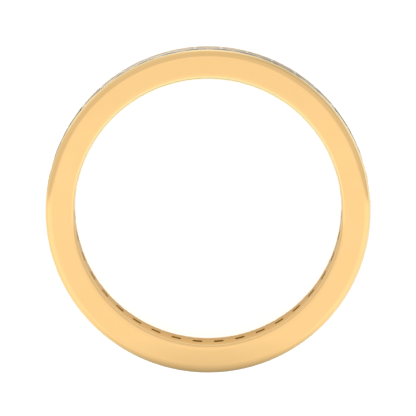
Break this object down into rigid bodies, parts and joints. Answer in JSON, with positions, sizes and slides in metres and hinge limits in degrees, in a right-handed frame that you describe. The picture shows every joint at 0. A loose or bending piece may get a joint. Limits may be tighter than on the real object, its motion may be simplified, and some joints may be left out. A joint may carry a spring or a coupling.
{
  "type": "eternity ring",
  "caption": "Finger ring with flat sides and a channel all round the outside that holds one row of square cut stones, over small square holes.",
  "frame": {"origin": "centre of the side face that the ring lies on", "axes": "+Z along the ring's axis, through the finger hole; the ring lies on its side on Z = 0; +Y is up and +X is right in the picture, whose near side faces +Z"},
  "size_m": [0.0206, 0.0206, 0.0033],
  "materials": {
    "gold": "polished",
    "stone": "polished"
  },
  "bodies": {
    "root": {"band": "gold", "stone_01": "stone", "stone_02": "stone", "stone_03": "stone", "stone_04": "stone", "stone_05": "stone", "stone_06": "stone", "stone_07": "stone", "stone_08": "stone", "stone_09": "stone", "stone_10": "stone", "stone_11": "stone", "stone_12": "stone", "stone_13": "stone", "stone_14": "stone", "stone_15": "stone", "stone_16": "stone", "stone_17": "stone", "stone_18": "stone", "stone_19": "stone", "stone_20": "stone", "stone_21": "stone", "stone_22": "stone", "stone_23": "stone", "stone_24": "stone", "stone_25": "stone", "stone_26": "stone", "stone_27": "stone", "stone_28": "stone", "stone_29": "stone", "stone_30": "stone", "stone_31": "stone", "stone_32": "stone", "stone_33": "stone", "stone_34": "stone", "stone_35": "stone", "stone_36": "stone", "stone_37": "stone", "stone_38": "stone", "stone_39": "stone"}
  },
  "joints": []
}
